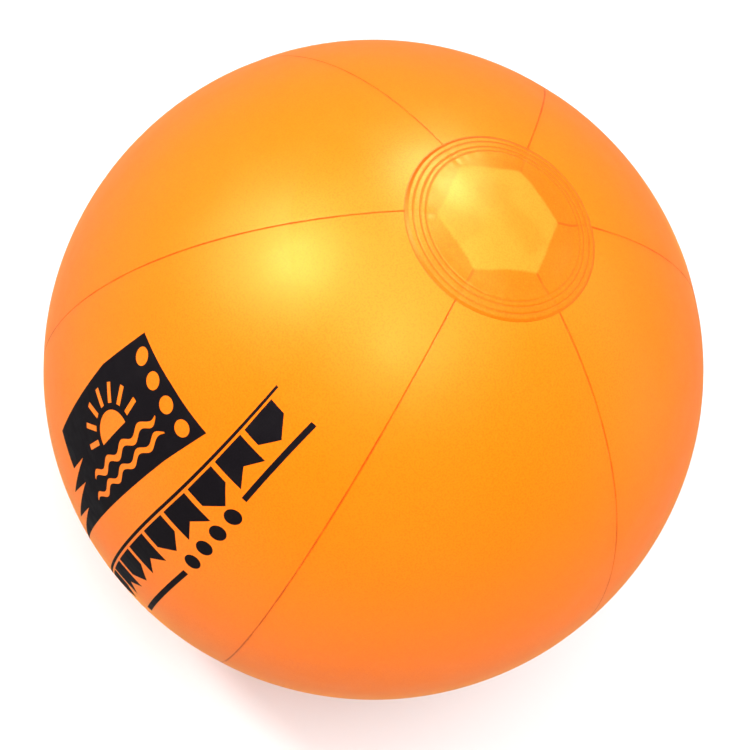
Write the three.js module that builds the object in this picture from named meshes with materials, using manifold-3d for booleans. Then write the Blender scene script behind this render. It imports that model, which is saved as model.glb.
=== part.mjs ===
// Inflatable beach ball: six welded film gores, two end discs and a push-in valve with a stopper.
// Units are millimetres. The origin is the ball's centre, +Z runs through the top end disc, and
// the valve is on +Y. A panel seam lies at every multiple of 60 degrees round Z, from +X.

import * as THREE from 'three';
import { mergeVertices } from 'three/addons/utils/BufferGeometryUtils.js';
import Module from 'manifold-3d';

const wasm = await Module();
wasm.setup();

// Driving dimensions of the ball
const BALL_RADIUS = 152.5;
const FILM = 0.25;
const CLEARANCE = 0.3; // left between neighbouring pieces
const PANEL_NAMES = [
  'panel_front',
  'panel_front_right',
  'panel_back_right',
  'panel_back',
  'panel_back_left',
  'panel_front_left',
];
const PANEL_WITH_VALVE = 'panel_back';
const FIRST_PANEL_ANGLE = -90; // degrees round Z; panel_front is centred on -Y
const WELD_FIN_DEPTH = 3; // the panels' welded edges turn inwards by this much
const OPENING_ANGLE = 7.4; // degrees from the pole to the middle of the hexagonal opening's sides
const PANEL_COLUMNS = 8;
const PANEL_ROWS = 20;

// End discs
const DISC_ANGLE = 14.04; // degrees from a disc's centre to its edge
const DISC_SEGMENTS = 36;
const WELD_RING_ANGLES = [11.65, 12.45, 13.5]; // middles of the concentric weld beads
const WELD_RING_HALF_WIDTH = 0.22; // degrees
const WELD_RING_HEIGHT = 0.2;
const DISC_STEPS = 4; // between a disc's middle and its innermost weld bead
const TOP_DISC_SHIFT = 1.57; // degrees that the top disc was welded off the pole
const TOP_DISC_SHIFT_ANGLE = 11.2; // towards this direction round Z
const REST_PATCH_RADIUS = 12; // the bottom disc is pressed flat where the ball rests

// Valve, along +Y from the ball's centre
const VALVE_SEGMENTS = 32;
const VALVE_HOLE_RADIUS = 8;
const FLANGE_INNER_RADIUS = 7.5;
const FLANGE_OUTER_RADIUS = 13;
const FLANGE_THICKNESS = 0.7;
const FLANGE_DEPTH = 1.25; // below the ball's surface, which leaves room for the flat facets
const BOOT_WALL = 0.7;
const BOOT_TOP_RADIUS = FLANGE_INNER_RADIUS - CLEARANCE;
const BOOT_BASE_RADIUS = 6.2;
const BOOT_TOP_DEPTH = 1.6;
const BOOT_BASE_DEPTH = 11.7;
const STEM_RADIUS = 4.6;
const STEM_BORE_RADIUS = 3.3;
const STEM_LENGTH = 14;
const STEM_STANDOFF = 1.7; // the rim's height over the ball's surface with the stem pushed in
const LIP_RADIUS = 5.3;
const LIP_THICKNESS = 1.2;
const STRAP_WIDTH = 4;
const STRAP_THICKNESS = 1;
const STRAP_HINGE_OFFSET = 9.5; // from the stem's axis to the strap's fold
const PLUG_CAP_RADIUS = 5.4;
const PLUG_CAP_THICKNESS = 1.5;
const PLUG_PIN_LENGTH = 5;
const PLUG_PIN_ROOT_RADIUS = 3;
const PLUG_PIN_TIP_RADIUS = 1.9;
const PLUG_TAB_LENGTH = 4;
const PLUG_TAB_WIDTH = 5;
const PLUG_TAB_THICKNESS = 0.9;
const FLAP_RADIUS = 4.2;
const FLAP_THICKNESS = 0.6;

const FILM_MATERIAL = { color: 0xff9a2a, roughness: 0.38, metalness: 0 };
const VALVE_MATERIAL = { color: 0xf0e8dc, roughness: 0.4, metalness: 0 };

const rad = THREE.MathUtils.degToRad;
const lerp = THREE.MathUtils.lerp;

const ball = new THREE.Group();

function addNode(name, geometry, look) {
  const mesh = new THREE.Mesh(geometry, new THREE.MeshStandardMaterial(look));
  mesh.name = name;
  ball.add(mesh);
}

// A closed solid, for joining and cutting: shared corners are merged and empty triangles dropped.
function solidFrom(geometry) {
  const bare = new THREE.BufferGeometry();
  bare.setAttribute('position', geometry.attributes.position.clone());
  bare.setIndex(geometry.index);
  const merged = mergeVertices(bare, 1e-4);
  const index = merged.index.array;
  const kept = [];
  for (let i = 0; i < index.length; i += 3) {
    const [a, b, c] = index.slice(i, i + 3);
    if (a !== b && b !== c && c !== a) kept.push(a, b, c);
  }
  return new wasm.Manifold(new wasm.Mesh({
    numProp: 3,
    vertProperties: new Float32Array(merged.attributes.position.array),
    triVerts: new Uint32Array(kept),
  }));
}

function geometryFrom(solid) {
  const mesh = solid.getMesh();
  const geometry = new THREE.BufferGeometry();
  geometry.setAttribute('position', new THREE.BufferAttribute(mesh.vertProperties, 3));
  geometry.setIndex(new THREE.BufferAttribute(mesh.triVerts, 1));
  geometry.computeVertexNormals();
  return geometry;
}

// A point on a sphere about the origin. polar is measured from +Z and around from +X.
function onSphere(radius, polar, around) {
  const flat = radius * Math.sin(polar);
  return new THREE.Vector3(
    flat * Math.cos(around),
    flat * Math.sin(around),
    radius * Math.cos(polar),
  );
}

// ---- Panels -------------------------------------------------------------------------------

// The panel ends on a straight side of the hexagonal opening.
function openingPolar(around) {
  return Math.atan(Math.tan(rad(OPENING_ANGLE)) / Math.cos(around));
}

// One row of a panel centred on +X, as an outer and an inner chain of points: the fin on one
// side, the film across the panel, and the fin on the other side.
function panelRow(along) {
  const halfAngle = rad(180 / PANEL_NAMES.length);
  const edgePolar = lerp(openingPolar(halfAngle), Math.PI - openingPolar(halfAngle), along);
  const edgeTrim = Math.asin(CLEARANCE / 2 / (BALL_RADIUS * Math.sin(edgePolar)));
  const reach = halfAngle - edgeTrim;
  const outer = [];
  const inner = [];
  for (let j = 0; j <= PANEL_COLUMNS; j += 1) {
    const around = reach * (2 * j / PANEL_COLUMNS - 1);
    const start = openingPolar(around);
    const polar = lerp(start, Math.PI - start, along);
    outer.push(onSphere(BALL_RADIUS, polar, around));
    inner.push(onSphere(BALL_RADIUS - FILM, polar, around));
  }
  const [left, right] = [-1, 1].map((side) => {
    const seam = side * halfAngle;
    const inward = new THREE.Vector3(Math.sin(seam), -Math.cos(seam), 0);
    inward.multiplyScalar(side * FILM);
    const edge = side < 0 ? 0 : PANEL_COLUMNS;
    const tip = outer[edge].clone().multiplyScalar(1 - WELD_FIN_DEPTH / BALL_RADIUS);
    inner[edge].add(inward);
    return { tip, innerTip: tip.clone().add(inward) };
  });
  outer.unshift(left.tip);
  outer.push(right.tip);
  inner.unshift(left.innerTip);
  inner.push(right.innerTip);
  return [...outer, ...inner.reverse()];
}

// A panel centred on +X: closed sections lofted from the top opening to the bottom one.
function panelGeometry() {
  const sections = [];
  for (let i = 0; i <= PANEL_ROWS; i += 1) sections.push(panelRow(i / PANEL_ROWS));
  const count = sections[0].length;
  const index = [];
  const quad = (a, b, c, d) => index.push(a, b, c, a, c, d);
  for (let i = 0; i < PANEL_ROWS; i += 1) {
    for (let j = 0; j < count; j += 1) {
      const next = (j + 1) % count;
      quad(i * count + j, (i + 1) * count + j, (i + 1) * count + next, i * count + next);
    }
  }
  const last = PANEL_ROWS * count;
  for (let j = 0; j < count / 2 - 1; j += 1) {
    const across = count - 1 - j;
    quad(j, j + 1, across - 1, across);
    quad(last + across, last + across - 1, last + j + 1, last + j);
  }
  const geometry = new THREE.BufferGeometry().setFromPoints(sections.flat());
  geometry.setIndex(index);
  geometry.computeVertexNormals();
  return geometry;
}

function valveHoleCutter() {
  const depth = 4 * WELD_FIN_DEPTH;
  const cutter = new THREE.CylinderGeometry(
    VALVE_HOLE_RADIUS,
    VALVE_HOLE_RADIUS,
    depth,
    VALVE_SEGMENTS,
  );
  return solidFrom(cutter.translate(0, BALL_RADIUS, 0));
}

PANEL_NAMES.forEach((name, i) => {
  const turn = rad(FIRST_PANEL_ANGLE + i * 360 / PANEL_NAMES.length);
  const panel = panelGeometry().rotateZ(turn);
  const cut = name === PANEL_WITH_VALVE;
  addNode(name, cut ? geometryFrom(solidFrom(panel).subtract(valveHoleCutter())) : panel,
    FILM_MATERIAL);
});

// ---- End discs ----------------------------------------------------------------------------

// A domed film disc about +Y with three concentric weld beads on its outside. flatRadius is the
// size of the patch in its middle that is pressed flat.
function discGeometry(flatRadius) {
  const insideRadius = BALL_RADIUS + CLEARANCE;
  const outsideRadius = insideRadius + FILM;
  const flatAngle = Math.asin(flatRadius / outsideRadius);
  const at = (radius, polar) => new THREE.Vector2(
    radius * Math.sin(polar),
    radius * Math.cos(polar),
  );
  const angles = [];
  const innermost = rad(WELD_RING_ANGLES[0] - WELD_RING_HALF_WIDTH);
  for (let i = 0; i < DISC_STEPS; i += 1) angles.push(lerp(flatAngle, innermost, i / DISC_STEPS));
  const inside = angles.map((angle) => at(insideRadius, angle));
  const outside = angles.map((angle) => at(outsideRadius, angle));
  for (const ring of WELD_RING_ANGLES) {
    for (const side of [-1, 0, 1]) {
      const angle = rad(ring + side * WELD_RING_HALF_WIDTH);
      const height = side === 0 ? WELD_RING_HEIGHT : 0;
      outside.push(at(outsideRadius + height, angle));
    }
  }
  inside.push(at(insideRadius, rad(DISC_ANGLE)));
  outside.push(at(outsideRadius, rad(DISC_ANGLE)));
  const profile = [...inside, ...outside.reverse()];
  if (flatRadius > 0) {
    profile.unshift(new THREE.Vector2(0, inside[0].y));
    profile.push(new THREE.Vector2(0, profile[profile.length - 1].y));
  }
  return new THREE.LatheGeometry(profile, DISC_SEGMENTS);
}

const topDisc = discGeometry(0).rotateX(Math.PI / 2).rotateY(rad(TOP_DISC_SHIFT));
addNode('end_disc_top', topDisc.rotateZ(rad(TOP_DISC_SHIFT_ANGLE)), FILM_MATERIAL);
const bottomDisc = discGeometry(REST_PATCH_RADIUS).rotateX(-Math.PI / 2);
addNode('end_disc_bottom', bottomDisc, FILM_MATERIAL);

// ---- Valve --------------------------------------------------------------------------------

const RIM = BALL_RADIUS + STEM_STANDOFF;
const STEM_BASE = RIM - STEM_LENGTH;
const PLUG_SEAT = RIM + CLEARANCE;

// A ring about +Y: the outline is given as [radius, height] pairs and closes on itself.
function turnedRing(outline) {
  const points = outline.map(([radius, height]) => new THREE.Vector2(radius, height));
  return new THREE.LatheGeometry([...points, points[0].clone()], VALVE_SEGMENTS);
}

// A flat plate across +Y with rounded ends, from z = start to z = end, standing on height base.
function roundedPlate(start, end, width, base, thickness) {
  const half = width / 2;
  const outline = new THREE.Shape();
  outline.absarc(0, end - half, half, 0, Math.PI);
  outline.absarc(0, start + half, half, Math.PI, 2 * Math.PI);
  const plate = new THREE.ExtrudeGeometry(outline, {
    depth: thickness,
    bevelEnabled: false,
    curveSegments: 6,
  });
  return plate.rotateX(Math.PI / 2).translate(0, base + thickness, 0);
}

// The flange follows the inside of the ball.
function flangeGeometry() {
  const top = BALL_RADIUS - FLANGE_DEPTH;
  const heightAt = (radius, sphere) => Math.sqrt(sphere ** 2 - radius ** 2);
  const under = top - FLANGE_THICKNESS;
  return turnedRing([
    [FLANGE_INNER_RADIUS, heightAt(FLANGE_INNER_RADIUS, under)],
    [FLANGE_OUTER_RADIUS, heightAt(FLANGE_OUTER_RADIUS, under)],
    [FLANGE_OUTER_RADIUS, heightAt(FLANGE_OUTER_RADIUS, top)],
    [FLANGE_INNER_RADIUS, heightAt(FLANGE_INNER_RADIUS, top)],
  ]);
}

// The boot is a tapered cup round the stem, open at the top, with a hole for the stem below.
function bootGeometry() {
  const top = BALL_RADIUS - BOOT_TOP_DEPTH;
  const base = BALL_RADIUS - BOOT_BASE_DEPTH;
  return turnedRing([
    [STEM_RADIUS + CLEARANCE, base],
    [BOOT_BASE_RADIUS, base],
    [BOOT_TOP_RADIUS, top],
    [BOOT_TOP_RADIUS - BOOT_WALL, top],
    [BOOT_BASE_RADIUS - BOOT_WALL, base + BOOT_WALL],
    [STEM_RADIUS + CLEARANCE, base + BOOT_WALL],
  ]);
}

// The stem is a tube with a lip, and a lug on the lip where the strap folds.
function stemGeometry() {
  const tube = turnedRing([
    [STEM_BORE_RADIUS, STEM_BASE],
    [STEM_RADIUS, STEM_BASE],
    [STEM_RADIUS, RIM - LIP_THICKNESS],
    [LIP_RADIUS, RIM - LIP_THICKNESS],
    [LIP_RADIUS, RIM],
    [STEM_BORE_RADIUS, RIM],
  ]);
  const lug = roundedPlate(
    -(STRAP_HINGE_OFFSET - CLEARANCE),
    0,
    STRAP_WIDTH,
    RIM - STRAP_THICKNESS,
    STRAP_THICKNESS,
  );
  const bore = new THREE.CylinderGeometry(
    STEM_BORE_RADIUS + CLEARANCE,
    STEM_BORE_RADIUS + CLEARANCE,
    STEM_LENGTH,
    VALVE_SEGMENTS,
  ).translate(0, RIM, 0);
  return geometryFrom(solidFrom(lug).subtract(solidFrom(bore)).add(solidFrom(tube)));
}

// The stopper is a cap with a tapered pin, and a tab to pull it by.
function plugGeometry() {
  const cap = new THREE.LatheGeometry([
    new THREE.Vector2(0, PLUG_SEAT - PLUG_PIN_LENGTH),
    new THREE.Vector2(PLUG_PIN_TIP_RADIUS, PLUG_SEAT - PLUG_PIN_LENGTH),
    new THREE.Vector2(PLUG_PIN_ROOT_RADIUS, PLUG_SEAT),
    new THREE.Vector2(PLUG_CAP_RADIUS, PLUG_SEAT),
    new THREE.Vector2(PLUG_CAP_RADIUS, PLUG_SEAT + PLUG_CAP_THICKNESS),
    new THREE.Vector2(0, PLUG_SEAT + PLUG_CAP_THICKNESS),
  ], VALVE_SEGMENTS);
  const tab = roundedPlate(
    0,
    PLUG_CAP_RADIUS + PLUG_TAB_LENGTH,
    PLUG_TAB_WIDTH,
    PLUG_SEAT + PLUG_CAP_THICKNESS - PLUG_TAB_THICKNESS,
    PLUG_TAB_THICKNESS,
  );
  return geometryFrom(solidFrom(cap).add(solidFrom(tab)));
}

// The strap's moving half, from its fold beside the lug to the cap.
function strapGeometry() {
  const plate = roundedPlate(
    -(STRAP_HINGE_OFFSET - CLEARANCE),
    0,
    STRAP_WIDTH,
    PLUG_SEAT,
    STRAP_THICKNESS,
  );
  const capRoom = new THREE.CylinderGeometry(
    PLUG_CAP_RADIUS + CLEARANCE,
    PLUG_CAP_RADIUS + CLEARANCE,
    STEM_LENGTH,
    VALVE_SEGMENTS,
  ).translate(0, PLUG_SEAT, 0);
  return geometryFrom(solidFrom(plate).subtract(solidFrom(capRoom)));
}

function flapGeometry() {
  const top = STEM_BASE - CLEARANCE;
  return new THREE.CylinderGeometry(FLAP_RADIUS, FLAP_RADIUS, FLAP_THICKNESS, VALVE_SEGMENTS)
    .translate(0, top - FLAP_THICKNESS / 2, 0);
}

addNode('valve_flange', flangeGeometry(), VALVE_MATERIAL);
addNode('valve_boot', bootGeometry(), VALVE_MATERIAL);
addNode('valve_stem', stemGeometry(), VALVE_MATERIAL);
addNode('valve_plug', plugGeometry(), VALVE_MATERIAL);
addNode('plug_strap', strapGeometry(), VALVE_MATERIAL);
addNode('check_flap', flapGeometry(), VALVE_MATERIAL);

export default ball;
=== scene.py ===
"""Inflatable beach ball: six welded film panels, two end discs, a push-in valve and a print.

Metres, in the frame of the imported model: the ball's centre is the origin, +Z runs through the
top end disc and the valve is on +Y.
"""
import math

import bmesh
import bpy
import numpy as np
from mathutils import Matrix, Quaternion, Vector


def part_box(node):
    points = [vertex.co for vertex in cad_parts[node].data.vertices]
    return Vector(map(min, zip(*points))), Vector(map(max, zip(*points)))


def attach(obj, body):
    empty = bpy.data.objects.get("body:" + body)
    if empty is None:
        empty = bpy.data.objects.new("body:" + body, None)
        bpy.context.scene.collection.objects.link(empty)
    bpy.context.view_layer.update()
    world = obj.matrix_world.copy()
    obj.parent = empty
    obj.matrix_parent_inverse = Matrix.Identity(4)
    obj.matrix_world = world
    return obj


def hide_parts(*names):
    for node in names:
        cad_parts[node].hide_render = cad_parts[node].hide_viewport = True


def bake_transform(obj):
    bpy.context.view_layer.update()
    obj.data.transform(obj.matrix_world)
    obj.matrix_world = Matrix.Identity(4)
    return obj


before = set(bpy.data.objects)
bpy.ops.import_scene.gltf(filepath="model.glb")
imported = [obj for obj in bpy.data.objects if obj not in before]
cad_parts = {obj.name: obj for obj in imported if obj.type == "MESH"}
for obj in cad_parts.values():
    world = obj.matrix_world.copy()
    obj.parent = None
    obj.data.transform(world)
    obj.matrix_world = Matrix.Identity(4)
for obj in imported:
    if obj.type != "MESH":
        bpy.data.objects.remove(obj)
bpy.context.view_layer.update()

MM = 0.001
SEED = 7

# ---- The ball's dimensions, from the frame and from what the film measures ----
RADIUS = -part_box("panel_front")[0].y
FLOOR_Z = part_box("end_disc_bottom")[0].z

PANELS = (
    "panel_front",
    "panel_front_right",
    "panel_back_right",
    "panel_back",
    "panel_back_left",
    "panel_front_left",
)
PANEL_TURN = math.radians(60)
FIRST_PANEL = math.radians(-90)
FILM = 0.25 * MM
SEAM_ROUNDING = 0.3 * MM  # how tightly the film turns inwards into a seam
SEAM_GAP = 0.02 * MM
FIN_DEPTH = 3 * MM
OPENING_POLAR = math.radians(7.6)  # from the pole to the middle of the opening's sides
PANEL_ROWS = 132
PUCKER_REACH = 3.5 * MM
PUCKER_HEIGHT = 0.07 * MM
SEAM_DIP = 0.12 * MM  # the seams draw the film in a little
SEAM_DIP_REACH = 9 * MM


# ---- Small helpers ----

LATHE_SEGMENTS = 64
ON_AXIS = 1e-7  # closer to the axis than this, a lathe's point is on it
ARC_STEPS = 4  # per rounded corner


def on_sphere(radius, polar, around):
    """Points at a polar angle from +Z and an angle around from +X, with x, y, z as the last axis."""
    radius, polar, around = np.broadcast_arrays(radius, polar, around)
    flat = radius * np.sin(polar)
    return np.stack((flat * np.cos(around), flat * np.sin(around), radius * np.cos(polar)), -1)


def smooth(edge0, edge1, value):
    t = np.clip((value - edge0) / (edge1 - edge0), 0, 1)
    return t * t * (3 - 2 * t)


def make_piece(name, points, faces, material, body="ball", nodes=(), slot="film"):
    """A mesh object that rides on a body and stands for CAD nodes. Unused points are left out."""
    points = np.asarray(points)
    used = np.zeros(len(points), bool)
    for face in faces:
        used[list(face)] = True
    place = np.cumsum(used) - 1
    faces = [[int(place[i]) for i in face] for face in faces]
    mesh = bpy.data.meshes.new(name)
    mesh.from_pydata(points[used].tolist(), [], faces)
    mesh.validate()
    mesh.shade_smooth()
    mesh.materials.append(material)
    piece = bpy.data.objects.new(name, mesh)
    bpy.context.scene.collection.objects.link(piece)
    if body:
        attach(piece, body)
    if nodes:
        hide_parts(*nodes)
    return piece


def ring_faces(rows, count):
    """Quads between consecutive closed loops of count points."""
    quads = []
    for i in range(rows - 1):
        for j in range(count):
            a = i * count
            k = (j + 1) % count
            quads.append((a + j, a + count + j, a + count + k, a + k))
    return quads


def lathe(profile):
    """A closed outline of (radius, height) pairs turned about +Y. Points on the axis are shared."""
    angles = np.arange(LATHE_SEGMENTS) * 2 * math.pi / LATHE_SEGMENTS
    points, rings = [], []
    for radius, height in profile:
        if radius < ON_AXIS:
            rings.append([len(points)] * LATHE_SEGMENTS)
            points.append((0, height, 0))
        else:
            rings.append(list(range(len(points), len(points) + LATHE_SEGMENTS)))
            points.extend((radius * math.sin(a), height, radius * math.cos(a)) for a in angles)
    faces = []
    count = len(rings)
    closed = profile[0][0] > ON_AXIS
    for i in range(count if closed else count - 1):
        low, high = rings[i], rings[(i + 1) % count]
        for j in range(LATHE_SEGMENTS):
            k = (j + 1) % LATHE_SEGMENTS
            corners = []
            for index in (low[j], low[k], high[k], high[j]):
                if index not in corners:
                    corners.append(index)
            if len(corners) > 2:
                faces.append(tuple(corners))
    return points, faces


def rounded(outline, radius, sharp=()):
    """The outline with each corner replaced by an arc, except those whose index is in sharp."""
    done = []
    count = len(outline)
    for i, corner in enumerate(outline):
        corner = np.array(corner, float)
        if i in sharp:
            done.append(tuple(corner))
            continue
        before = np.array(outline[i - 1], float) - corner
        after = np.array(outline[(i + 1) % count], float) - corner
        reach = min(radius, 0.45 * np.linalg.norm(before), 0.45 * np.linalg.norm(after))
        start = corner + before / np.linalg.norm(before) * reach
        end = corner + after / np.linalg.norm(after) * reach
        for t in np.linspace(0, 1, ARC_STEPS + 1):
            done.append(tuple((1 - t) ** 2 * start + 2 * t * (1 - t) * corner + t * t * end))
    return done


# ---- Film panels ----

rng = np.random.default_rng(SEED)
PUCKER_WAVES = rng.uniform(
    (120, 0, 0.4), (260, 2 * math.pi, 1.0), (len(PANELS), 4, 3)
)  # four waves per seam: how close together, phase and strength
NEAR_SEAM = np.array((0.5, 1.2, 2.2, 3.6, 5.5, 8.0)) * MM
FILLET_STEPS = 6
MIDDLE_COLUMNS = 40
VALVE_BLOCK = 6  # grid cells each way from the valve that the round patch takes up
VALVE_HOLE = 8 * MM
WELD_INNER = 8.8 * MM  # the ring where the valve's flange is welded under the film
WELD_OUTER = 12.8 * MM
WELD_SOFTNESS = 0.3 * MM
WELD_PRESS = 0.12 * MM
ROUNDING_RINGS = (0.17, 0.34, 0.5, 0.67, 0.84)  # shares of the way from square to round
OUTER_RINGS = np.array((14.5, 13.6, 13.0, 12.6, 12.1, 11.0, 9.9, 9.1, 8.7, 8.35)) * MM
VALVE_RINGS = np.append(OUTER_RINGS, VALVE_HOLE)


def opening_polar(around):
    """Polar angle of the straight side of the hexagonal opening."""
    return np.arctan(math.tan(OPENING_POLAR) / np.cos(around))


def seam_profile(offset):
    """Distance from the seam and depth under the surface, from the fin's tip out to the film."""
    turn = np.linspace(0, math.pi / 2, FILLET_STEPS)
    bend = SEAM_ROUNDING - offset
    middle = SEAM_GAP / 2 + SEAM_ROUNDING
    distance = [SEAM_GAP / 2 + offset] * 2
    depth = [FIN_DEPTH, (FIN_DEPTH + SEAM_ROUNDING) / 2]
    distance.extend(middle - bend * np.cos(turn))
    depth.extend(SEAM_ROUNDING - bend * np.sin(turn))
    distance.extend(middle + NEAR_SEAM)
    depth.extend([offset] * len(NEAR_SEAM))
    return np.array(distance), np.array(depth)


def seam_relief(seam, polar, distance):
    """How far the film lies inside the sphere near a seam: a shallow dip with fine puckers."""
    waves = PUCKER_WAVES[seam % len(PANELS)]
    ripple = sum(w[2] * np.sin(w[0] * polar + w[1]) for w in waves) / len(waves)
    pucker = PUCKER_HEIGHT * ripple * np.exp(-distance / PUCKER_REACH)
    return SEAM_DIP * np.exp(-((distance / SEAM_DIP_REACH) ** 2)) - pucker


def panel_layer(number, offset):
    """One face of a panel as a (rows, columns, 3) grid, centred on +X before it is turned."""
    half = PANEL_TURN / 2
    along = np.linspace(0, 1, PANEL_ROWS + 1)[:, None]
    seam_start = opening_polar(half)
    seam_polar = seam_start + (math.pi - 2 * seam_start) * along
    distance, depth = seam_profile(offset)
    from_seam = np.arcsin(distance / ((RADIUS - depth) * np.sin(seam_polar)))
    edge = half - from_seam[:, -1:]
    middle = np.linspace(-1, 1, MIDDLE_COLUMNS + 1)[1:-1] * edge
    around = np.hstack((from_seam - half, middle, (half - from_seam)[:, ::-1]))
    depths = np.concatenate((depth, np.full(middle.shape[1], offset), depth[::-1]))
    start = opening_polar(around)
    polar = start + (math.pi - 2 * start) * along
    span = RADIUS * np.sin(seam_polar)
    left = np.abs(half + around) * span
    right = np.abs(half - around) * span
    dip = seam_relief(number, polar, left) + seam_relief(number + 1, polar, right)
    return on_sphere(RADIUS - depths - dip, polar, around)


def edge_loop(grid):
    """The entries round a grid's edge, in order."""
    return np.concatenate((grid[:-1, 0], grid[-1, :-1], grid[:0:-1, -1], grid[0, :0:-1]))


def valve_patch(block, offset):
    """Rings of points from the square block's edge in to the valve's round hole, facing +X."""
    edge = edge_loop(block)
    bearing = np.arctan2(edge[:, 2], edge[:, 1])
    rings = []
    circles = []
    for radius in VALVE_RINGS:
        pressed = smooth(WELD_INNER - WELD_SOFTNESS, WELD_INNER, radius)
        pressed *= 1 - smooth(WELD_OUTER - WELD_SOFTNESS, WELD_OUTER, radius)
        reach = RADIUS - offset - WELD_PRESS * pressed
        height = math.sqrt(reach**2 - radius**2)
        ring = np.stack(
            (np.full(len(edge), height), radius * np.cos(bearing), radius * np.sin(bearing)), -1
        )
        circles.append(ring)
    for share in ROUNDING_RINGS:
        between = edge * (1 - share) + circles[0] * share
        rings.append(between * ((RADIUS - offset) / np.linalg.norm(between, axis=1))[:, None])
    return rings + circles


def panel_faces(grid, skipped_rows, skipped_columns):
    """Quads for the panel's outer face, its inner face, whose points come next, and its rim."""
    size = grid.size
    faces = []
    for i in range(grid.shape[0] - 1):
        for j in range(grid.shape[1] - 1):
            if i in skipped_rows and j in skipped_columns:
                continue
            a, b, c, d = grid[i, j], grid[i + 1, j], grid[i + 1, j + 1], grid[i, j + 1]
            faces.append((a, b, c, d))
            faces.append((d + size, c + size, b + size, a + size))
    rim = edge_loop(grid)
    for a, b in zip(rim, np.roll(rim, -1)):
        faces.append((a, a + size, b + size, b))
    return faces


def valve_surround(grid, layers, block):
    """Points and faces that fill the block with the round patch, down to the hole's wall."""
    loop = edge_loop(grid[block])
    count = len(loop)
    total = 2 * grid.size
    points, faces, hole_edges = [], [], []
    for side, (layer, offset) in enumerate(zip(layers, (0, FILM))):
        previous = loop + side * grid.size
        for ring in valve_patch(layer[block], offset):
            current = total + np.arange(count)
            points.append(ring)
            total += count
            for k in range(count):
                n = (k + 1) % count
                quad = (previous[k], previous[n], current[n], current[k])
                faces.append(quad[::-1] if side else quad)
            previous = current
        hole_edges.append(previous)
    top, under = hole_edges
    for k in range(count):
        n = (k + 1) % count
        faces.append((top[k], top[n], under[n], under[k]))
    return points, faces


def film_panel(number, material):
    """One of the six panels. The back one has the round hole for the valve."""
    layers = panel_layer(number, 0), panel_layer(number, FILM)
    rows, columns = layers[0].shape[:2]
    grid = np.arange(rows * columns).reshape(rows, columns)
    points = [layer.reshape(-1, 3) for layer in layers]
    if PANELS[number] == "panel_back":
        first_row, first_column = rows // 2 - VALVE_BLOCK, columns // 2 - VALVE_BLOCK
        last_row, last_column = first_row + 2 * VALVE_BLOCK, first_column + 2 * VALVE_BLOCK
        faces = panel_faces(grid, range(first_row, last_row), range(first_column, last_column))
        block = slice(first_row, last_row + 1), slice(first_column, last_column + 1)
        more_points, more_faces = valve_surround(grid, layers, block)
        points += more_points
        faces += more_faces
    else:
        faces = panel_faces(grid, (), ())
    turn = FIRST_PANEL + number * PANEL_TURN
    c, s = math.cos(turn), math.sin(turn)
    turned = np.vstack(points) @ np.array(((c, s, 0), (-s, c, 0), (0, 0, 1)))
    name = PANELS[number].replace("panel", "film")
    return make_piece(name, turned, faces, material, nodes=[PANELS[number]])


# ---- End discs ----

DISC_EDGE = math.radians(14.04)
DISC_LIFT = 0.03 * MM
TOP_AXIS = (0.0269, 0.0053, 0.9996)  # the top disc was welded a little off the pole
BOTTOM_AXIS = (0, 0, -1)
DISC_SHADE_LINE = 14.12  # degrees from the centre: a line of painted shade on the panels just outside the disc's edge
WELD_GROOVES = ((13.0, 0.20), (12.05, 0.20), (11.3, 0.16))  # degrees from the centre, depth in mm
GROOVE_WIDTH = math.radians(0.11)
WELD_BAND = math.radians(11.1)  # the raised band of weld beads starts here
BAND_RISE = 0.22 * MM
BAND_SLOPE = 0.02  # radians
EDGE_PRESS = 0.2 * MM
EDGE_SLOPE = math.radians(0.45)
RIM_ROUNDING = 0.09 * MM
CREASE_DEPTH = 0.14 * MM  # the disc's film sinks into the seams it is welded across
CREASE_WIDTH = 0.8 * MM
LOOSE_CREASE = 0.25  # share of the crease's depth inside the weld band
PULL_HEIGHT = 0.05 * MM  # fine radial pulls along the weld band's inner side
PULL_COUNT = 36
PULL_REACH = 0.016  # radians
TOP_BULGE = 1.0 * MM  # the top disc domes out with nothing pressing on it
BULGE_EDGE = 0.19  # radians from the centre
HEXAGON_STEP = 0.05 * MM
HEXAGON_SLOPE = 0.6 * MM
HEXAGON_SHIFT = (1.5 * MM, -1.2 * MM, 0)  # the opening's middle is a little off the pole
SHIFT_END = math.radians(9.5), math.radians(13.5)  # further out the seams keep their places
DISC_ROWS = (  # radians from the centre: first, last and how many
    (0.008, math.radians(6), 12),
    (math.radians(6.3), math.radians(10.8), 18),
    (math.radians(10.95), DISC_EDGE, 34),
)
DISC_SEGMENTS = 216
SEAM_NORMALS = tuple(
    (math.cos(math.radians(a)), math.sin(math.radians(a))) for a in (30, 90, 150)
)


def hexagon_distances(points):
    """For points near a pole: distance from the nearest seam, and the hexagon's own radius."""
    across = np.stack([np.abs(points[..., 0] * x + points[..., 1] * y) for x, y in SEAM_NORMALS])
    return across.min(0), across.max(0)


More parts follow.
